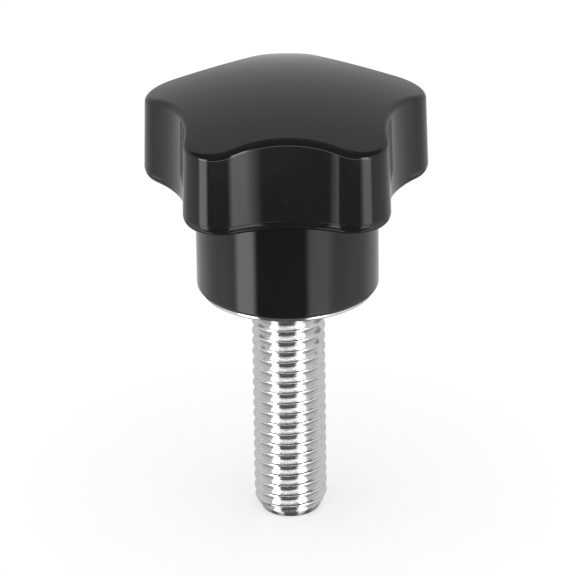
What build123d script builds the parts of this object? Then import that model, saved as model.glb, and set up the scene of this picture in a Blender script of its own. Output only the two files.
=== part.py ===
"""Five-lobed star knob with a threaded stud.

A moulded black head sits on a steel insert, whose flange shows as a thin plated ring under the boss.
A steel stud is screwed into the insert and stands out below the flange.

Frame: +Z runs along the knob's axis, from the stud towards the head. The origin is on the axis at the
flange's underside, the face that seats on the work. Lengths are in millimetres, angles in degrees.
"""

from build123d import *

import os
from math import cos, radians, sin, sqrt

# Grip: the lobed upper part of the head
knob_diameter = 32.0            # circle through the tips of the lobes, at the parting line
lobe_count = 5
first_lobe_angle = 90           # from +X: one lobe points along +Y
lobe_radius = 4.1               # roundness of a lobe, seen from above
scallop_radius = 13.4           # hollow arc between two lobes
grip_height = 12.15             # underside of the lobes to the crown of the dome
dome_radius = 45.0              # sphere that the top face is part of
draft_angle = 1.5               # the sides close in towards the top, so that the head leaves its mould
top_edge_chamfer = 0.42         # stands in for the rounded edge between the sides and the dome
under_edge_radius = 1.25
under_edge_land = 0.1           # upright band between the parting line and the rounding below it

# Boss: the round lower part of the head
boss_height = 11.0              # flange to the underside of the lobes
boss_inset = 1.1                # flat shelf between the boss and the rounding under a hollow
boss_edge_chamfer = 0.25

# Flanged insert, moulded into the head
flange_inset = 0.45             # the flange is this much smaller in radius than the boss
flange_thickness = 0.75
flange_edge_chamfer = 0.15
barrel_sides = 6
barrel_across_flats = 12.0
barrel_length = 14.0            # above the flange
barrel_chamfer = 0.5
key_groove_width = 3.0          # turned groove that the moulding grips
key_groove_depth = 0.9          # below the barrel's flats

# Threaded stud, at the thread's outer diameter
thread_diameter = 8.0
stud_projection = 26.5          # seat to the stud's free end
stud_engagement = 11.0          # length screwed into the insert
tip_chamfer_length = 1.6
tip_chamfer_depth = 0.85
relief_length = 1.2             # undercut just inside the insert's mouth
relief_depth = 0.7
inner_end_chamfer = 0.6
inner_end_gap = 0.5             # between the stud's inner end and the foot of its bore

# Sizes that follow
grip_underside = flange_thickness + boss_height
parting_line = grip_underside + under_edge_radius + under_edge_land
crown = grip_underside + grip_height
bore_depth = stud_engagement + inner_end_gap
thread_radius = thread_diameter / 2

# Plan of the grip: the lobe arcs and the hollow arcs between them are tangent to each other
lobe_pitch = 360 / lobe_count
lobe_centre = knob_diameter / 2 - lobe_radius
lobe_across = lobe_centre * sin(radians(lobe_pitch / 2))
lobe_along = lobe_centre * cos(radians(lobe_pitch / 2))
scallop_centre = lobe_along + sqrt((lobe_radius + scallop_radius) ** 2 - lobe_across**2)
scallop_bottom = scallop_centre - scallop_radius
boss_radius = scallop_bottom - under_edge_radius - boss_inset
flange_radius = boss_radius - flange_inset
lobe_angles = [first_lobe_angle + lobe_pitch * number for number in range(lobe_count)]


def polar(radius: float, angle: float) -> Vector:
    """Point of the plan at a radius from the axis and an angle from +X."""
    return Vector(radius * cos(radians(angle)), radius * sin(radians(angle)))


def arc_joint(lobe_angle: float, side: int) -> Vector:
    """Point where a lobe's arc meets the hollow arc on one side of it (side is 1 or -1)."""
    centre = polar(lobe_centre, lobe_angle)
    hollow = polar(scallop_centre, lobe_angle + side * lobe_pitch / 2)
    return centre + (hollow - centre).normalized() * lobe_radius


# Insert before it is bored: also the shape of the cavity that it leaves in the moulding
with BuildPart() as insert_blank:
    with BuildSketch(Plane.XY.offset(flange_thickness)):
        RegularPolygon(barrel_across_flats / 2, side_count=barrel_sides, major_radius=False)
    extrude(amount=barrel_length)
    chamfer(insert_blank.faces().sort_by(Axis.Z)[-1].edges(), barrel_chamfer)
    with BuildSketch(Plane.XY.offset(flange_thickness + barrel_length / 2)):
        Circle(barrel_across_flats)
        Circle(barrel_across_flats / 2 - key_groove_depth, mode=Mode.SUBTRACT)
    extrude(amount=key_groove_width / 2, both=True, mode=Mode.SUBTRACT)
    with BuildSketch(Plane.XY):
        Circle(flange_radius)
    extrude(amount=flange_thickness)

with BuildPart() as flanged_insert:
    add(insert_blank.part)
    chamfer(flanged_insert.faces().sort_by(Axis.Z)[0].edges(), flange_edge_chamfer)
    with BuildSketch(Plane.XY):
        Circle(thread_radius)
    extrude(amount=bore_depth, mode=Mode.SUBTRACT)

# Stud: turned profile, from the free end up to the end inside the insert
with BuildPart() as threaded_stud:
    with BuildSketch(Plane.XZ):
        with BuildLine():
            Polyline(
                (0, -stud_projection),
                (thread_radius - tip_chamfer_depth, -stud_projection),
                (thread_radius, tip_chamfer_length - stud_projection),
                (thread_radius, 0),
                (thread_radius - relief_depth, 0),
                (thread_radius - relief_depth, relief_length),
                (thread_radius, relief_length),
                (thread_radius, stud_engagement - inner_end_chamfer),
                (thread_radius - inner_end_chamfer, stud_engagement),
                (0, stud_engagement),
                close=True,
            )
        make_face()
    revolve(axis=Axis.Z)

# Head: drafted star, domed on top, with the round boss below it
with BuildPart() as star_head:
    with BuildSketch(Plane.XY.offset(parting_line)) as plan:
        with BuildLine():
            for angle in lobe_angles:
                lobe_start = arc_joint(angle, -1)
                lobe_end = arc_joint(angle, 1)
                next_start = arc_joint(angle + lobe_pitch, -1)
                ThreePointArc(lobe_start, polar(knob_diameter / 2, angle), lobe_end)
                ThreePointArc(lobe_end, polar(scallop_bottom, angle + lobe_pitch / 2), next_start)
        make_face()
    extrude(amount=crown - parting_line, taper=draft_angle)
    with Locations((0, 0, crown - dome_radius)):
        Sphere(dome_radius, rotation=(90, 0, 0), mode=Mode.INTERSECT)
    chamfer(star_head.faces().filter_by(GeomType.SPHERE).edges(), top_edge_chamfer)
    extrude(plan.sketch, amount=grip_underside - parting_line)
    fillet(star_head.faces().sort_by(Axis.Z)[0].edges(), under_edge_radius)

    with BuildSketch(Plane.XY.offset(flange_thickness)):
        Circle(boss_radius)
    extrude(amount=parting_line - flange_thickness)
    chamfer(star_head.faces().sort_by(Axis.Z)[0].edges(), boss_edge_chamfer)
    add(insert_blank.part, mode=Mode.SUBTRACT)

os.makedirs("parts", exist_ok=True)
for name, piece in {
    "star_head": star_head,
    "flanged_insert": flanged_insert,
    "threaded_stud": threaded_stud,
}.items():
    piece.part.label = name
    export_step(piece.part, f"parts/{name}.step")
    print(name, "volume", round(piece.part.volume), "mm3")
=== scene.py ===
"""Star knob with a threaded stud: the looks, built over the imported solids.

The knob stands on its stud. Lengths are in metres, in the solids' own frame: +Z runs up the knob's axis, and the
origin is on the axis at the seating face, the underside of the plated flange.
"""

import logging
import math
from collections.abc import Callable, Iterator
from contextlib import contextmanager
from dataclasses import dataclass, field
from enum import Enum

import bmesh
import bpy
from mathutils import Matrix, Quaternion, Vector


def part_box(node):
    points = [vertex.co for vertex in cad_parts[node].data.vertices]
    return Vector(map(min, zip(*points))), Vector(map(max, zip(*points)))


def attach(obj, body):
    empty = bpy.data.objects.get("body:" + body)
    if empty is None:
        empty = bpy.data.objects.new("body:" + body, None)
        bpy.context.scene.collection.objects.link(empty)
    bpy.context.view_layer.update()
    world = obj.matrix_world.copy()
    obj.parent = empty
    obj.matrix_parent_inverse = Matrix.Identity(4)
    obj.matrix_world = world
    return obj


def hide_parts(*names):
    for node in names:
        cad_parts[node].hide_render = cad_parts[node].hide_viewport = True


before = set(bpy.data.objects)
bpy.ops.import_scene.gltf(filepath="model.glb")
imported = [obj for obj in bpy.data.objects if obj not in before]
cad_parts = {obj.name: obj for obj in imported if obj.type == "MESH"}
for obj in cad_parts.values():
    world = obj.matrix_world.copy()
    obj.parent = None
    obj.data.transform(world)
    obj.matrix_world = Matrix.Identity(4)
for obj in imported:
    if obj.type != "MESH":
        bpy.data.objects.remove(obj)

MM = 0.001
COURSES = (0.01, 0.32, 0.34, 0.32, 0.01)  # shares of a wall's height, narrow where it meets a rounding
FOOT_LAP = 0.3 * MM  # how far the boss reaches down over the flange's edge, past the solid's foot
CREASE = 35.0  # degrees, sharper edges than this stay crisp on the head and the insert
THREAD_CREASE = 28.0
FULL_CIRCLE = 360.0
LOG = logging.getLogger("star_knob")


class Part(Enum):
    """What a modelling step picks and acts on."""

    VERTS = "VERT"
    EDGES = "EDGE"
    FACES = "FACE"


class Carve(Enum):
    """How one shape changes another."""

    CUT = "DIFFERENCE"
    KEEP_COMMON = "INTERSECT"
    JOIN = "UNION"


# --------------------------------------------------------------------------------------------------------------
# Modelling bench
# --------------------------------------------------------------------------------------------------------------


class Workpiece:
    """One mesh object on the bench, shaped by the modelling operators."""

    def __init__(self, name: str, add: Callable[..., object], **sizes: object) -> None:
        """Adds a primitive as the start of a piece.

        Args:
            name: Name of the object and its mesh.
            add: Operator that adds the primitive.
            **sizes: Settings of that operator, its size and place.
        """
        bpy.ops.object.select_all(action="DESELECT")
        add(**sizes)
        self.thing = bpy.context.object
        self.thing.name = name
        self.thing.data.name = name
        self.settle()

    def settle(self) -> None:
        """Moves the object's place, turn and scale into its mesh."""
        self.alone()
        bpy.ops.object.transform_apply(location=True, rotation=True, scale=True)

    def alone(self) -> None:
        """Makes this piece the only selected object, and the active one."""
        bpy.ops.object.select_all(action="DESELECT")
        self.thing.select_set(True)
        bpy.context.view_layer.objects.active = self.thing

    @contextmanager
    def editing(self) -> Iterator["Workpiece"]:
        """Opens edit mode with nothing selected, and closes it again."""
        self.alone()
        bpy.ops.object.mode_set(mode="EDIT")
        bpy.ops.mesh.select_mode(type=Part.VERTS.value)
        bpy.ops.mesh.select_all(action="DESELECT")
        yield self
        bpy.ops.object.mode_set(mode="OBJECT")

    def pick(self, part: Part, test: Callable[[object], bool]) -> int:
        """Selects the elements that pass a test, and nothing else.

        Args:
            part: Kind of element.
            test: Takes a vertex, edge or face and tells whether it is wanted.

        Returns:
            How many elements are selected.
        """
        bpy.ops.mesh.select_mode(type=part.value)
        bpy.ops.mesh.select_all(action="DESELECT")
        mesh = bmesh.from_edit_mesh(self.thing.data)
        elements = {Part.VERTS: mesh.verts, Part.EDGES: mesh.edges, Part.FACES: mesh.faces}[part]
        wanted = [element for element in elements if test(element)]
        for element in wanted:
            element.select_set(True)
        mesh.select_flush_mode()
        bmesh.update_edit_mesh(self.thing.data)
        return len(wanted)

    def inset(self, inwards: float, outwards: float) -> None:
        """Adds a ring of faces inside the selected face.

        Args:
            inwards: Width of the ring in the face's plane.
            outwards: How far the inner face moves along its normal.
        """
        bpy.ops.mesh.inset(thickness=inwards, depth=outwards, use_even_offset=True)

    def rounding(self, radius: float, steps: int, start: float = 0.0) -> None:
        """Rounds the selected face's rim by rings of insets, from its wall into its plane.

        Args:
            radius: Radius of the rounding.
            steps: Number of rings.
            start: Angle at which the wall meets the rounding, in radians from upright.
        """
        last = (math.cos(start), math.sin(start))
        for step in range(1, steps + 1):
            turn = start + (math.pi / 2 - start) * step / steps
            here = (math.cos(turn), math.sin(turn))
            self.inset(radius * (last[0] - here[0]), radius * (here[1] - last[1]))
            last = here

    def turn(self, stations: list[tuple[float, float]]) -> None:
        """Extrudes the selected round face or ring through a turned profile.

        Args:
            stations: Radius and height of each ring, the selected one first.
        """
        for (old_radius, old_height), (radius, height) in zip(stations, stations[1:]):
            bpy.ops.mesh.extrude_region_move(TRANSFORM_OT_translate={"value": (0, 0, height - old_height)})
            scale = radius / old_radius
            bpy.ops.transform.resize(value=(scale, scale, 1), center_override=(0, 0, height))

    def make_round(self, radius: float) -> None:
        """Moves each selected vertex along its own radius onto a circle about the axis."""
        mesh = bmesh.from_edit_mesh(self.thing.data)
        for vertex in mesh.verts:
            if vertex.select:
                vertex.co.xy = vertex.co.xy.normalized() * radius
        bmesh.update_edit_mesh(self.thing.data)

    def carve(self, tool: "Workpiece", how: Carve) -> None:
        """Changes this piece by another one, which is used up.

        Args:
            tool: The other shape.
            how: What is done with it.
        """
        step = self.thing.modifiers.new(how.name.lower(), "BOOLEAN")
        step.operation = how.value
        step.solver = "EXACT"
        step.object = tool.thing
        self.apply(step)
        bpy.data.objects.remove(tool.thing)

    def apply(self, step: bpy.types.Modifier) -> None:
        """Applies a modifier for good."""
        self.alone()
        bpy.ops.object.modifier_apply(modifier=step.name)

    def clean(self, reach: float = 0.001 * MM) -> None:
        """Merges doubled vertices and points every face outwards."""
        with self.editing():
            bpy.ops.mesh.select_all(action="SELECT")
            bpy.ops.mesh.remove_doubles(threshold=reach)
            bpy.ops.mesh.normals_make_consistent(inside=False)

    def smooth(self, crease: float) -> None:
        """Shades the piece smooth, with edges sharper than an angle left crisp.

        Args:
            crease: The angle, in degrees.
        """
        self.alone()
        bpy.ops.object.shade_smooth_by_angle(angle=math.radians(crease))


def arc_stations(centre: tuple[float, float], radius: float, turns: tuple[float, float], steps: int) -> list:
    """Points of an arc in a turned profile.

    Args:
        centre: Radius and height of the arc's centre.
        radius: Radius of the arc.
        turns: First and last angle, in degrees from straight out, positive upwards.
        steps: Number of steps between them.

    Returns:
        Radius and height of each point.
    """
    first, last = (math.radians(turn) for turn in turns)
    angles = [first + (last - first) * step / steps for step in range(steps + 1)]
    return [(centre[0] + radius * math.cos(a), centre[1] + radius * math.sin(a)) for a in angles]


def wall_stations(radius: float, start: float, end: float) -> list:
    """Points between the two ends of an upright wall in a turned profile.

    Args:
        radius: Radius of the wall.
        start: Height at which it starts.
        end: Height at which it ends.

    Returns:
        Radius and height of each point.
    """
    shares = [sum(COURSES[: count + 1]) for count in range(len(COURSES) - 1)]
    return [(radius, start + (end - start) * share) for share in shares]


# --------------------------------------------------------------------------------------------------------------
# Materials
# --------------------------------------------------------------------------------------------------------------


class Wire:
    """A node's output socket that can be used in expressions."""

    def __init__(self, sheet: "NodeSheet", socket: bpy.types.NodeSocket) -> None:
        """Keeps the socket and the sheet that it is on."""
        self.sheet = sheet
        self.socket = socket

    def _math(self, operation: str, *values: object) -> "Wire":
        """Adds one Math node.

        Args:
            operation: Name of the operation.
            *values: Numbers or wires, in order.

        Returns:
            The node's result.
        """
        return self.sheet.node("Math", {"operation": operation}, dict(enumerate(values)))

    def __add__(self, other: object) -> "Wire":
        """self + other."""
        return self._math("ADD", self, other)

    def __radd__(self, other: object) -> "Wire":
        """other + self."""
        return self._math("ADD", other, self)

    def __sub__(self, other: object) -> "Wire":
        """self - other."""
        return self._math("SUBTRACT", self, other)

    def __rsub__(self, other: object) -> "Wire":
        """other - self."""
        return self._math("SUBTRACT", other, self)

    def __mul__(self, other: object) -> "Wire":
        """self * other."""
        return self._math("MULTIPLY", self, other)

    def __rmul__(self, other: object) -> "Wire":
        """other * self."""
        return self._math("MULTIPLY", other, self)

    def __truediv__(self, other: object) -> "Wire":
        """self / other."""
        return self._math("DIVIDE", self, other)

    def __pow__(self, other: object) -> "Wire":
        """self ** other."""
        return self._math("POWER", self, other)

    def __abs__(self) -> "Wire":
        """abs(self)."""
        return self._math("ABSOLUTE", self)

    def most(self, other: object) -> "Wire":
        """The larger of this and another value."""
        return self._math("MAXIMUM", self, other)

    def band(self, low: float, high: float) -> "Wire":
        """Rises smoothly from 0 at low to 1 at high, or falls where low is above high."""
        settings = {"interpolation_type": "SMOOTHSTEP"}
        if low < high:
            return self.sheet.node("MapRange", settings, {0: self, 1: low, 2: high, 3: 0.0, 4: 1.0})
        return self.sheet.node("MapRange", settings, {0: self, 1: high, 2: low, 3: 1.0, 4: 0.0})


class NodeSheet:
    """The node tree of one material or of the world."""

    def __init__(self, owner: bpy.types.Material | bpy.types.World) -> None:
        """Opens an empty node tree.

        Args:
            owner: The material or world that the tree belongs to.
        """
        owner.use_nodes = True
        self.tree = owner.node_tree
        self.tree.nodes.clear()

    def node(self, kind: str, settings: dict | None = None, inputs: dict | None = None, out: object = 0) -> Wire:
        """Adds a node.

        Args:
            kind: The node's type without its ShaderNode prefix.
            settings: Attributes that are set first.
            inputs: Values or wires, by socket name or number.
            out: Name or number of the output that is wanted.

        Returns:
            That output.
        """
        made = self.tree.nodes.new(f"ShaderNode{kind}")
        for key, value in (settings or {}).items():
            setattr(made, key, value)
        for key, value in (inputs or {}).items():
            if isinstance(value, Wire):
                self.tree.links.new(value.socket, made.inputs[key])
            else:
                made.inputs[key].default_value = value
        return Wire(self, made.outputs[out]) if made.outputs else Wire(self, None)

    def place(self) -> Wire:
        """Place of a point on the piece, in metres."""
        return self.node("TexCoord", out="Object")

    def along(self, vector: Wire, axis: str) -> Wire:
        """One coordinate of a vector."""
        return self.node("SeparateXYZ", inputs={0: vector}, out=axis)

    def from_axis(self, vector: Wire) -> Wire:
        """Distance of a point from the Z axis."""
        x, y = self.along(vector, "X"), self.along(vector, "Y")
        return (x * x + y * y) ** 0.5

    def stretch(self, vector: Wire, scale: tuple[float, float, float]) -> Wire:
        """Scales a vector by axis."""
        return self.node("Mapping", inputs={"Vector": vector, "Scale": scale})

    def noise(self, vector: Wire, scale: float, detail: float = 2.0, rough: float = 0.5) -> Wire:
        """Soft noise from 0 to 1.

        Args:
            vector: Where it is looked up.
            scale: Features to a metre.
            detail: Number of finer layers.
            rough: Strength of the finer layers.

        Returns:
            The noise's value.
        """
        inputs = {"Vector": vector, "Scale": scale, "Detail": detail, "Roughness": rough}
        return self.node("TexNoise", inputs=inputs, out="Fac")

    def tint(self, mask: Wire, low: tuple, high: tuple) -> Wire:
        """Mixes two colours by a mask."""
        inputs = {"Factor": mask, 6: (*low, 1.0), 7: (*high, 1.0)}
        return self.node("Mix", {"data_type": "RGBA"}, inputs, out=2)

    def bump(self, height: Wire, distance: float, strength: float, under: Wire | None = None) -> Wire:
        """Turns a height into a bumped normal.

        Args:
            height: Height from 0 to 1.
            distance: Depth that a height of 1 stands for, in metres.
            strength: Share of that depth that is used.
            under: A bumped normal that this one goes on top of.

        Returns:
            The normal.
        """
        inputs = {"Height": height, "Distance": distance, "Strength": strength}
        if under is not None:
            inputs["Normal"] = under
        return self.node("Bump", inputs=inputs)

    def finish(self, shader: Wire) -> None:
        """Wires a shader to the material's output."""
        self.node("OutputMaterial", inputs={"Surface": shader})


@dataclass(frozen=True)
class BlackMoulding:
    """Hard black plastic with the gloss of a polished mould."""

    name: str = "black_moulding_gloss"
    shade: tuple = (0.0095, 0.0095, 0.0105)
    dusty: tuple = (0.017, 0.017, 0.018)
    roughness: float = 0.055
    parting_height: float = 0.0
    seam_width: float = 0.035 * MM

    def make(self) -> bpy.types.Material:
        """Builds the material.

        Returns:
            The material.
        """
        material = bpy.data.materials.new(self.name)
        sheet = NodeSheet(material)
        at = sheet.place()
        mottle = sheet.noise(at, 260.0, 3.0)
        dust = sheet.noise(at, 5200.0, 2.0, 0.7).band(0.66, 0.78)
        haze = sheet.noise(at, 90.0, 4.0, 0.62)
        scuffs = sheet.noise(sheet.stretch(at, (1.0, 0.22, 0.4)), 3600.0, 1.0).band(0.62, 0.80)
        seam = (abs(sheet.along(at, "Z") - self.parting_height)).band(self.seam_width, 0.0)
        peel = sheet.noise(at, 1500.0, 2.0)
        sway = sheet.noise(at, 120.0, 1.0)
        colour = sheet.tint(mottle * 0.35 + dust * 0.25, self.shade, self.dusty)
        rough = self.roughness + haze * 0.03 + scuffs * 0.05 + seam * 0.15
        wavy = sheet.bump(sway, 0.05 * MM, 0.35)
        skin = sheet.bump(peel, 0.002 * MM, 0.35, wavy)
        normal = sheet.bump(seam, 0.02 * MM, 0.6, skin)
        inputs = {"Base Color": colour, "Roughness": rough, "IOR": 1.5, "Normal": normal}
        sheet.finish(sheet.node("BsdfPrincipled", inputs=inputs))
        return material


@dataclass(frozen=True)
class BrightZinc:
    """Bright zinc plating on steel."""

    name: str
    bright: tuple = (0.86, 0.86, 0.865)
    # darker colour: random tone, and on the stud painted shade in the thread roots
    shade_and_tone: tuple = (0.60, 0.605, 0.615)
    roughness: float = 0.10

    def make(self, texture: Callable[[NodeSheet, Wire], tuple[Wire, Wire, Wire]]) -> bpy.types.Material:
        """Builds the material.

        Args:
            texture: Gives, for the place on the piece, how far it darkens towards the darker colour from 0 to 1
                (random tone, and on the stud painted shade in the thread roots), extra roughness and the normal.

        Returns:
            The material.
        """
        material = bpy.data.materials.new(self.name)
        sheet = NodeSheet(material)
        shade_and_tone_mask, extra, normal = texture(sheet, sheet.place())
        inputs = {
            "Base Color": sheet.tint(shade_and_tone_mask, self.bright, self.shade_and_tone),
            "Metallic": 1.0,
            "Roughness": self.roughness + extra,
            "Normal": normal,
        }
        sheet.finish(sheet.node("BsdfPrincipled", inputs=inputs))
        return material


# --------------------------------------------------------------------------------------------------------------
# The knob
# --------------------------------------------------------------------------------------------------------------


@dataclass
class StarHead:
    """The moulded head: a drafted five-lobed grip with a domed top, and the round boss below it."""

    lobes: int = 5
    lobe_radius: float = 4.1 * MM
    hollow_radius: float = 13.4 * MM
    dome_radius: float = 45.0 * MM
    draft: float = math.radians(1.5)
    grip_height: float = 12.15 * MM
    top_rounding: float = 0.55 * MM
    under_rounding: float = 1.25 * MM
    under_land: float = 0.1 * MM
    boss_radius: float = 9.919 * MM
    boss_root: float = 0.3 * MM
    foot_rounding: float = 0.50 * MM
    lobe_steps: int = 30
    hollow_steps: int = 16
    rounding_steps: int = 10
    rim_supports: tuple = (0.08 * MM, 0.35 * MM)
    top_rings: int = 18
    ring_offset: float = 0.45
    crown: float = field(init=False)
    foot: float = field(init=False)
    reach: float = field(init=False)

    def __post_init__(self) -> None:
        """Takes the heights and the reach from the solid's box."""
        low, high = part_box("star_head")
        self.foot = low.z - FOOT_LAP
        self.crown = high.z
        self.reach = high.y

    @property
    def underside(self) -> float:
        """Height of the lobes' underside."""
        return self.crown - self.grip_height

    @property
    def parting(self) -> float:
        """Height of the parting line."""
        return self.underside + self.under_rounding + self.under_land

    def sag(self, radius: float) -> float:
        """How far the dome has dropped at a distance from the axis."""
        return self.dome_radius - math.sqrt(self.dome_radius**2 - radius**2)

    def draw_plan(self, piece: Workpiece) -> None:
        """Draws the star as one chain of arcs, spun in turn about each lobe and each hollow.

        Args:
            piece: The piece, one plane to start with.
        """
        pitch = 2 * math.pi / self.lobes
        lobe_centre = self.reach - self.lobe_radius
        gap = self.lobe_radius + self.hollow_radius
        half_across = lobe_centre * math.sin(pitch / 2)
        hollow_centre = lobe_centre * math.cos(pitch / 2) + math.sqrt(gap**2 - half_across**2)
        half_lobe = pitch / 2 + math.asin(half_across / gap)
        half_hollow = half_lobe - pitch / 2
        up = math.pi / 2

        def at(radius: float, angle: float) -> Vector:
            """Point of the plan, from its polar coordinates."""
            return Vector((radius * math.cos(angle), radius * math.sin(angle), self.parting))

        with piece.editing():
            bpy.ops.mesh.select_all(action="SELECT")
            bpy.ops.mesh.merge(type="CENTER")
            start = at(lobe_centre, up) + at(self.lobe_radius, up - half_lobe) - at(0, 0)
            bpy.ops.transform.translate(value=start)
            for number in range(self.lobes):
                turn = up + number * pitch
                bpy.ops.mesh.spin(
                    steps=self.lobe_steps, angle=-2 * half_lobe, center=at(lobe_centre, turn), axis=(0, 0, 1)
                )
                bpy.ops.mesh.spin(
                    steps=self.hollow_steps,
                    angle=2 * half_hollow,
                    center=at(hollow_centre, turn + pitch / 2),
                    axis=(0, 0, 1),
                )
            bpy.ops.mesh.select_all(action="SELECT")
            bpy.ops.mesh.remove_doubles(threshold=0.01 * MM)
            bpy.ops.mesh.select_all(action="SELECT")
            bpy.ops.mesh.edge_face_add()

    def raise_grip(self, piece: Workpiece) -> None:
        """Raises the drafted wall, rounds its top edge and closes the top in rings.

        Args:
            piece: The piece, with the plan drawn.
        """
        wall = self.crown - self.parting - self.top_rounding * (1 - math.sin(self.draft))
        lean = (wall - self.sag(0.9 * self.reach)) * math.tan(self.draft)
        with piece.editing():
            if piece.pick(Part.FACES, lambda face: face.normal.z < 0):
                bpy.ops.mesh.flip_normals()
            piece.pick(Part.FACES, lambda face: True)
            for share in COURSES:
                piece.inset(lean * share, wall * share)
            piece.rounding(self.top_rounding, self.rounding_steps, self.draft)
            for width in self.rim_supports:
                piece.inset(width, 0)
            for left in range(self.top_rings, 0, -1):
                scale = (left - 1 + self.ring_offset) / (left + self.ring_offset)
                bpy.ops.mesh.extrude_region_move(TRANSFORM_OT_translate={"value": (0, 0, 0)})
                bpy.ops.transform.resize(value=(scale, scale, 1), center_override=(0, 0, self.crown))
            bpy.ops.mesh.merge(type="CENTER")

    def sink_dome(self, piece: Workpiece) -> None:
        """Sinks the flat top into a dome. The wall shortens with it, and its foot stays.

        Args:
            piece: The piece, with a flat top.
        """
        deepest = self.sag(self.reach)
        rise = self.crown - self.top_rounding - self.parting
        group = piece.thing.vertex_groups.new(name="sag")
        for vertex in piece.thing.data.vertices:
            share = min(max((vertex.co.z - self.parting) / rise, 0.0), 1.0)
            group.add([vertex.index], share * self.sag(vertex.co.xy.length) / deepest, "REPLACE")
        step = piece.thing.modifiers.new("sag", "DISPLACE")
        step.direction = "Z"
        step.mid_level = 0.0
        step.strength = -deepest
        step.vertex_group = group.name
        piece.apply(step)
        piece.thing.vertex_groups.clear()

    def add_underside(self, piece: Workpiece) -> None:
        """Rounds the grip's lower edge and turns the boss down from it.

        Args:
            piece: The piece, open below the parting line.
        """
        root_radius = self.boss_radius + self.boss_root
        with piece.editing():
            piece.pick(Part.EDGES, lambda edge: edge.is_boundary)
            bpy.ops.mesh.edge_face_add()
            bpy.ops.mesh.select_all(action="SELECT")
            bpy.ops.mesh.normals_make_consistent(inside=False)
            piece.pick(Part.FACES, lambda face: face.normal.z < -0.9)
            bpy.ops.mesh.extrude_region_move(TRANSFORM_OT_translate={"value": (0, 0, -self.under_land)})
            piece.rounding(self.under_rounding, self.rounding_steps)
            piece.inset(0.1 * MM, 0)
            bpy.ops.mesh.extrude_region_move(TRANSFORM_OT_translate={"value": (0, 0, 0)})
            piece.make_round(root_radius)
            root_centre = (root_radius, self.underside - self.boss_root)
            foot_centre = (self.boss_radius - self.foot_rounding, self.foot + self.foot_rounding)
            stations = arc_stations(root_centre, self.boss_root, (90, 180), 5)
            stations += wall_stations(self.boss_radius, root_centre[1], foot_centre[1])
            stations += arc_stations(foot_centre, self.foot_rounding, (0, -90), 8)
            piece.turn(stations)

    def build(self, cavity: Workpiece) -> Workpiece:
        """Makes the head.

        Args:
            cavity: Shape of what is moulded into it, which is used up.

        Returns:
            The head.
        """
        piece = Workpiece("moulded_head", bpy.ops.mesh.primitive_plane_add, size=MM)
        self.draw_plan(piece)
        self.raise_grip(piece)
        self.sink_dome(piece)
        self.add_underside(piece)
        piece.clean()
        piece.carve(cavity, Carve.CUT)
        piece.smooth(CREASE)
        return piece

    def dress(self, piece: Workpiece) -> None:
        """Gives the head its gloss and its place in the record."""
        piece.thing.data.materials.clear()
        piece.thing.data.materials.append(BlackMoulding(parting_height=self.parting).make())
        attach(piece.thing, "root")
        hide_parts("star_head")


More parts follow.
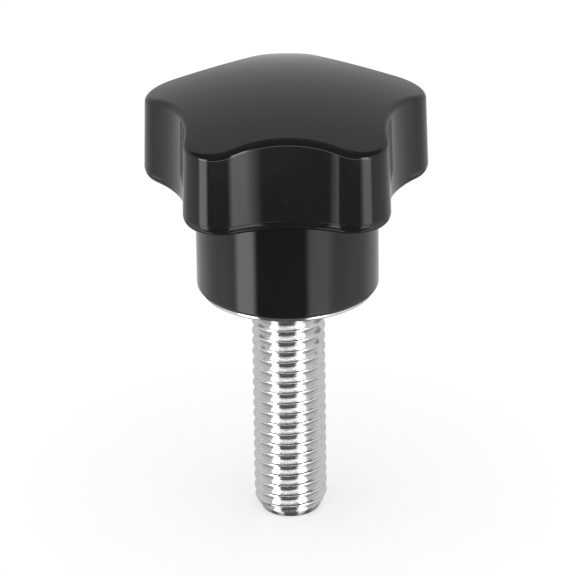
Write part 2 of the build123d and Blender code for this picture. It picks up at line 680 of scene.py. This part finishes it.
@dataclass
class FlangedInsert:
    """The plated steel insert that is moulded into the head. Its flange shows below the boss."""

    barrel_flats: float = 12.0 * MM
    barrel_chamfer: float = 0.5 * MM
    barrel_root: float = 0.1 * MM
    groove_width: float = 3.0 * MM
    groove_depth: float = 0.9 * MM
    bore_radius: float = 4.0 * MM
    bore_depth: float = 11.5 * MM
    seat_rounding: float = 0.26 * MM
    top_rounding: float = 0.06 * MM
    flange_radius: float = field(init=False)
    seat: float = field(init=False)
    shoulder: float = field(init=False)
    top: float = field(init=False)

    def __post_init__(self) -> None:
        """Takes the flange's size and the heights from the solids' boxes."""
        low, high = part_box("flanged_insert")
        self.flange_radius = high.x
        self.seat = low.z
        self.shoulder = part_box("star_head")[0].z - FOOT_LAP
        self.top = high.z

    def barrel(self, name: str) -> Workpiece:
        """Makes the six-sided barrel with its turned groove.

        Args:
            name: Name of the piece.

        Returns:
            The barrel, without the flange.
        """
        height = self.top - self.shoulder
        corner = self.barrel_flats / 2 / math.cos(math.pi / 6)
        piece = Workpiece(
            name,
            bpy.ops.mesh.primitive_cylinder_add,
            vertices=6,
            radius=corner,
            depth=height + self.barrel_root,
            location=(0, 0, self.shoulder + (height - self.barrel_root) / 2),
            rotation=(0, 0, math.pi / 6),
        )
        with piece.editing():
            piece.pick(Part.EDGES, lambda edge: all(v.co.z > self.top - 0.01 * MM for v in edge.verts))
            bpy.ops.mesh.bevel(offset=self.barrel_chamfer, segments=1, affect="EDGES")
        middle = self.shoulder + height / 2
        ring = Workpiece(
            "groove_cutter",
            bpy.ops.mesh.primitive_cylinder_add,
            vertices=96,
            radius=self.barrel_flats,
            depth=self.groove_width,
            location=(0, 0, middle),
        )
        core = Workpiece(
            "groove_core",
            bpy.ops.mesh.primitive_cylinder_add,
            vertices=96,
            radius=self.barrel_flats / 2 - self.groove_depth,
            depth=2 * self.groove_width,
            location=(0, 0, middle),
        )
        ring.carve(core, Carve.CUT)
        piece.carve(ring, Carve.CUT)
        return piece

    def build(self) -> Workpiece:
        """Makes the bored insert with its flange.

        Returns:
            The insert.
        """
        seat_centre = (self.flange_radius - self.seat_rounding, self.seat + self.seat_rounding)
        top_centre = (self.flange_radius - self.top_rounding, self.shoulder - self.top_rounding)
        piece = Workpiece(
            "plated_insert",
            bpy.ops.mesh.primitive_circle_add,
            vertices=256,
            radius=seat_centre[0],
            fill_type="NGON",
            location=(0, 0, self.seat),
        )
        with piece.editing():
            piece.pick(Part.EDGES, lambda edge: True)
            stations = arc_stations(seat_centre, self.seat_rounding, (-90, 0), 8)
            stations += wall_stations(self.flange_radius, seat_centre[1], top_centre[1])
            stations += arc_stations(top_centre, self.top_rounding, (0, 90), 4)
            piece.turn(stations)
            bpy.ops.mesh.edge_face_add()
        piece.clean()
        piece.carve(self.barrel("barrel"), Carve.JOIN)
        bore = Workpiece(
            "bore_cutter",
            bpy.ops.mesh.primitive_cylinder_add,
            vertices=128,
            radius=self.bore_radius,
            depth=2 * self.bore_depth,
            location=(0, 0, self.seat),
        )
        piece.carve(bore, Carve.CUT)
        piece.clean()
        piece.smooth(CREASE)
        return piece

    def texture(self, sheet: NodeSheet, at: Wire) -> tuple[Wire, Wire, Wire]:
        """Turned rings under a bright plated skin.

        Args:
            sheet: The material's node tree.
            at: Place on the piece.

        Returns:
            Dullness, extra roughness and normal.
        """
        radius = sheet.from_axis(at)
        rings = sheet.noise(sheet.node("CombineXYZ", inputs={0: radius, 1: 0.0, 2: 0.0}), 9000.0, 3.0, 0.7)
        cloud = sheet.noise(at, 420.0, 3.0)
        normal = sheet.bump(rings, 0.006 * MM, 0.25)
        return cloud * 0.45 + rings * 0.2, rings * 0.03 + cloud * 0.02, normal

    def dress(self, piece: Workpiece) -> None:
        """Gives the insert its plating and its place in the record."""
        piece.thing.data.materials.clear()
        piece.thing.data.materials.append(BrightZinc("zinc_on_turned_steel", roughness=0.07).make(self.texture))
        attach(piece.thing, "root")
        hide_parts("flanged_insert")


@dataclass
class ThreadedStud:
    """The plated stud with its rolled right-hand thread and a tapered point."""

    pitch: float = 1.25 * MM
    crest_flat: float = 0.21 * MM
    root_flat: float = 0.18 * MM
    edge_softness: float = 0.045 * MM
    lead: float = 0.57 * MM
    steps: int = 96
    tip_length: float = 1.6 * MM
    tip_depth: float = 0.85 * MM
    inner_chamfer: float = 0.6 * MM
    major_radius: float = field(init=False)
    tip: float = field(init=False)
    inner_end: float = field(init=False)

    def __post_init__(self) -> None:
        """Takes the thread's outer radius and the stud's ends from the solid's box."""
        low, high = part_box("threaded_stud")
        self.major_radius = high.x
        self.tip = low.z
        self.inner_end = high.z

    @property
    def depth(self) -> float:
        """Depth of the thread: its sixty-degree flanks fill the pitch between the two flats."""
        return (self.pitch - self.crest_flat - self.root_flat) / 2 / math.tan(math.radians(30))

    def build(self) -> Workpiece:
        """Makes the stud.

        Returns:
            The stud.
        """
        piece = self.wind_thread()
        piece.carve(self.blank(), Carve.KEEP_COMMON)
        piece.clean(0.0005 * MM)
        piece.smooth(THREAD_CREASE)
        return piece

    def wind_thread(self) -> Workpiece:
        """Winds one turn's profile up the axis and cuts the ends off square.

        Returns:
            The thread, longer than the stud by about a turn at each end.
        """
        root = self.major_radius - self.depth
        piece = Workpiece("zinc_stud_thread", bpy.ops.mesh.primitive_plane_add, size=MM)
        turns = math.ceil((self.inner_end - self.tip) / self.pitch) + 4
        flank = (self.pitch - self.crest_flat - self.root_flat) / 2
        start = self.tip - 2.5 * self.pitch + self.lead
        profile = [
            (root, 0.0),
            (root, self.root_flat),
            (self.major_radius, self.root_flat + flank),
            (self.major_radius, self.root_flat + flank + self.crest_flat),
            (root, self.pitch),
        ]
        with piece.editing():
            bpy.ops.mesh.select_all(action="SELECT")
            bpy.ops.mesh.merge(type="CENTER")
            bpy.ops.transform.translate(value=(profile[0][0], 0, start))
            for (old_radius, old_height), (radius, height) in zip(profile, profile[1:]):
                bpy.ops.mesh.extrude_vertices_move(
                    TRANSFORM_OT_translate={"value": (radius - old_radius, 0, height - old_height)}
                )
            piece.pick(Part.VERTS, lambda v: start + 0.01 * MM < v.co.z < start + self.pitch - 0.01 * MM)
            bpy.ops.mesh.bevel(offset=self.edge_softness, segments=3, affect="VERTICES")
        step = piece.thing.modifiers.new("wind", "SCREW")
        step.axis = "Z"
        step.angle = 2 * math.pi
        step.screw_offset = self.pitch
        step.iterations = turns
        step.steps = self.steps
        step.render_steps = self.steps
        step.use_merge_vertices = True
        step.merge_threshold = 0.001 * MM
        piece.apply(step)
        piece.clean()
        with piece.editing():
            for height, normal in ((self.tip - 0.25 * self.pitch, -1), (self.inner_end + 0.25 * self.pitch, 1)):
                bpy.ops.mesh.select_all(action="SELECT")
                bpy.ops.mesh.bisect(
                    plane_co=(0, 0, height),
                    plane_no=(0, 0, normal),
                    use_fill=True,
                    clear_outer=True,
                    threshold=0.0001 * MM,
                )
        piece.clean()
        return piece

    def blank(self) -> Workpiece:
        """Makes the turned rod that the thread is rolled on.

        Returns:
            The rod with its tapered point, a little thicker than the thread.
        """
        ease = 0.02 * MM
        radius = self.major_radius + ease
        point = self.major_radius - self.tip_depth
        soft = 0.12 * MM
        piece = Workpiece(
            "stud_blank",
            bpy.ops.mesh.primitive_circle_add,
            vertices=192,
            radius=point - soft,
            fill_type="NGON",
            location=(0, 0, self.tip),
        )
        with piece.editing():
            piece.pick(Part.EDGES, lambda edge: True)
            stations = [
                (point - soft, self.tip),
                (point - 0.4 * soft, self.tip + 0.12 * soft),
                (point, self.tip + 0.7 * soft),
                (radius, self.tip + self.tip_length),
                (radius, self.inner_end - self.inner_chamfer),
                (radius - self.inner_chamfer, self.inner_end),
            ]
            piece.turn(stations)
            bpy.ops.mesh.edge_face_add()
        piece.clean()
        return piece

    def texture(self, sheet: NodeSheet, at: Wire) -> tuple[Wire, Wire, Wire]:
        """Rolled flanks, bright on the crests, with painted shade darkening the colour in the roots.

        Args:
            sheet: The material's node tree.
            at: Place on the piece.

        Returns:
            Darkening (painted shade in the roots and random tone), extra roughness and normal.
        """
        radius = sheet.from_axis(at)
        root = self.major_radius - self.depth
        # painted shade: the colour darkens towards the thread's roots, where the crests shade them
        root_shade_mask = radius.band(root + 0.16 * MM, root + 0.02 * MM)
        cloud = sheet.noise(at, 900.0, 3.0, 0.6)
        pits = sheet.noise(at, 6500.0, 2.0, 0.6)
        streaks = sheet.noise(sheet.stretch(at, (0.3, 0.3, 2.2)), 5200.0, 2.0)
        normal = sheet.bump(pits * 0.6 + streaks * 0.6, 0.008 * MM, 0.25)
        # painted shade in the roots, plus a random cloudy tone
        shade_and_tone = root_shade_mask * 1.1 + cloud.band(0.45, 0.75) * 0.3
        extra = cloud * 0.05 + pits * 0.03
        return shade_and_tone, extra, normal

    def dress(self, piece: Workpiece) -> None:
        """Gives the stud its plating and its place in the record."""
        piece.thing.data.materials.clear()
        piece.thing.data.materials.append(BrightZinc("zinc_on_rolled_thread").make(self.texture))
        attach(piece.thing, "root")
        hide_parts("threaded_stud")


# --------------------------------------------------------------------------------------------------------------
# The studio
# --------------------------------------------------------------------------------------------------------------


@dataclass(frozen=True)
class Softbox:
    """A flat lamp that faces a point on the knob. Neither the camera nor the gloss sees it."""

    name: str
    azimuth: float
    elevation: float
    distance: float
    width: float
    height: float
    radiance: float
    aim: tuple = (0.0, 0.0, 8 * MM)

    def place(self) -> bpy.types.Object:
        """Puts the lamp in the scene.

        Returns:
            The lamp.
        """
        turn, rise = math.radians(self.azimuth), math.radians(self.elevation)
        out = Vector((math.sin(turn) * math.cos(rise), -math.cos(turn) * math.cos(rise), math.sin(rise)))
        light = bpy.data.lights.new(self.name, "AREA")
        light.shape = "RECTANGLE"
        light.size = self.width
        light.size_y = self.height
        light.energy = self.radiance * math.pi * self.width * self.height
        lamp = bpy.data.objects.new(self.name, light)
        bpy.context.scene.collection.objects.link(lamp)
        lamp.location = Vector(self.aim) + out * self.distance
        lamp.rotation_euler = out.to_track_quat("Z", "Y").to_euler()
        lamp.visible_camera = False
        lamp.visible_glossy = False
        return lamp


@dataclass(frozen=True)
class Panel:
    """A soft card, dark flag or strip light before the white surround, as the knob's gloss mirrors it.

    All but the level is in degrees: the middle's direction from the front, the width, the heights of the lower and
    upper edge above the level, and the softness of the edges. A level of 1 is as bright as the surround.
    """

    azimuth: float
    width: float
    low: float
    high: float
    level: float
    soft: float = 5.0

    def over(self, behind: object, sheet: NodeSheet, azimuth: Wire, rise: Wire) -> Wire:
        """Lays the panel over what is behind it.

        Args:
            behind: Brightness behind the panel.
            sheet: The world's node tree.
            azimuth: Direction in degrees from the front.
            rise: Degrees above the level.

        Returns:
            The brightness with the panel in place.
        """
        cover = rise.band(self.low, self.low + self.soft)
        if self.width < FULL_CIRCLE:
            half = self.width / 2
            ends = {0: azimuth - self.azimuth, 1: FULL_CIRCLE / 2, 2: -FULL_CIRCLE / 2}
            away = abs(sheet.node("Math", {"operation": "WRAP"}, ends))
            cover = cover * away.band(half + self.soft, half)
        cover = cover * rise.band(self.high + self.soft, self.high)
        return behind + (self.level - behind) * cover


def studio_panels() -> tuple[Panel, ...]:
    """Lists the panels, each laid over the ones before it.

    Returns:
        Cards and flags, the pale edge of the table, then the strip lights on the left and on the right.
    """
    return (
        Panel(180, 160, -30, 60, 0.6, 10),
        Panel(180, 140, -55, -30, 0.3),
        Panel(0, 360, -95, -55, 0.1),
        Panel(-95, 40, -80, -30, 0.9),
        Panel(95, 40, -80, -30, 0.9),
        Panel(-90, 50, -30, 10, 0.6, 10),
        Panel(90, 50, -30, 10, 0.6, 10),
        Panel(0, 200, 10, 60, 0.1, 10),
        Panel(-10, 60, -80, 60, 0.1, 10),
        Panel(0, 360, 60, 95, 0.2),
        Panel(0, 90, -20, -15, 2.0, 2),
        Panel(-55, 15, -45, -15, 3.0, 10),
        Panel(-55, 20, -15, 5, 6.0),
        Panel(40, 15, -45, -30, 2.0, 10),
        Panel(45, 15, -25, -15, 4.0, 10),
        Panel(40, 15, -15, 5, 6.0),
    )


@dataclass
class Studio:
    """White floor, pale surround, soft lamps and the camera."""

    floor_size: float = 4.0
    floor_glow: float = 0.34
    paper: tuple = (0.86, 0.86, 0.86, 1.0)
    elevation: float = 24.42
    distance: float = 570.4 * MM
    lens: float = 327.1
    roll: float = -0.776
    aim: tuple = (0.0, 0.0, -0.205 * MM)
    fill: float = 0.7
    white: float = 1.0

    def place_camera(self) -> None:
        """Puts the camera in front of the knob and above it."""
        rise = math.radians(self.elevation)
        out = Vector((0, -math.cos(rise), math.sin(rise)))
        data = bpy.data.cameras.new("view")
        data.lens = self.lens
        data.sensor_width = 36
        data.clip_start = 0.01
        data.clip_end = 20
        camera = bpy.data.objects.new("view", data)
        bpy.context.scene.collection.objects.link(camera)
        camera.location = Vector(self.aim) + out * self.distance
        turn = out.to_track_quat("Z", "Y") @ Quaternion((0, 0, 1), math.radians(self.roll))
        camera.rotation_euler = turn.to_euler()
        bpy.context.scene.camera = camera

    @staticmethod
    def seen(sheet: NodeSheet) -> Wire:
        """Finds the rays that show the white background: the camera's, the gloss's and those through glass.

        Args:
            sheet: The node tree that asks.

        Returns:
            1 for such a ray, else 0.
        """
        camera, glossy, through = (
            sheet.node("LightPath", out=name) for name in ("Is Camera Ray", "Is Glossy Ray", "Is Transmission Ray")
        )
        return camera.most(glossy).most(through)

    def lay_floor(self) -> None:
        """Lays the white floor under the stud's point."""
        piece = Workpiece(
            "studio_floor",
            bpy.ops.mesh.primitive_plane_add,
            size=self.floor_size,
            location=(0, 0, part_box("threaded_stud")[0].z),
        )
        material = bpy.data.materials.new("studio_white")
        sheet = NodeSheet(material)
        paper = sheet.node("BsdfDiffuse", inputs={"Color": self.paper})
        glow = sheet.node("Emission", inputs={"Color": (1, 1, 1, 1), "Strength": self.seen(sheet) * self.floor_glow})
        lit = sheet.node("AddShader", inputs={0: paper, 1: glow})
        clear = sheet.node("BsdfTransparent")
        below = sheet.node("NewGeometry", out="Backfacing")
        sheet.finish(sheet.node("MixShader", inputs={0: below, 1: lit, 2: clear}))
        piece.thing.data.materials.append(material)
        piece.thing.visible_glossy = False

    def light_world(self) -> None:
        """Surrounds the knob with white, and with even pale light for matt surfaces and panels for the gloss."""
        world = bpy.data.worlds.new("studio_surround")
        bpy.context.scene.world = world
        bpy.context.scene.view_settings.view_transform = "Standard"
        sheet = NodeSheet(world)
        towards = sheet.node("TexCoord", out="Generated")
        x, y, z = (sheet.along(towards, axis) for axis in "XYZ")
        azimuth = sheet.node("Math", {"operation": "ARCTAN2"}, {0: x, 1: y * -1.0}) * math.degrees(1)
        rise = sheet.node("Math", {"operation": "ARCSINE"}, {0: z}) * math.degrees(1)
        light = self.fill + (self.white - self.fill) * self.seen(sheet)
        mirrored = self.white
        for panel in studio_panels():
            mirrored = panel.over(mirrored, sheet, azimuth, rise)
        light = light + (mirrored - light) * sheet.node("LightPath", out="Is Glossy Ray")
        back = sheet.node("Background", inputs={"Color": (1, 1, 1, 1), "Strength": light})
        sheet.node("OutputWorld", inputs={"Surface": back})

    def build(self) -> None:
        """Sets the whole studio up."""
        self.place_camera()
        self.lay_floor()
        self.light_world()
        Softbox("overhead", azimuth=0, elevation=80, distance=0.5, width=0.5, height=0.5, radiance=0.55).place()


def main() -> None:
    """Builds the knob's pieces and the studio in order, and reports each."""
    logging.basicConfig(level=logging.INFO, format="%(name)s: %(message)s")
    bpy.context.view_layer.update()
    insert = FlangedInsert()
    head = StarHead()
    stud = ThreadedStud()
    made = [
        (head, head.build(insert.barrel("cavity"))),
        (insert, insert.build()),
        (stud, stud.build()),
    ]
    for maker, piece in made:
        maker.dress(piece)
        LOG.info("%s: %d faces", piece.thing.name, len(piece.thing.data.polygons))
    Studio().build()


if __name__ == "__main__":
    main()
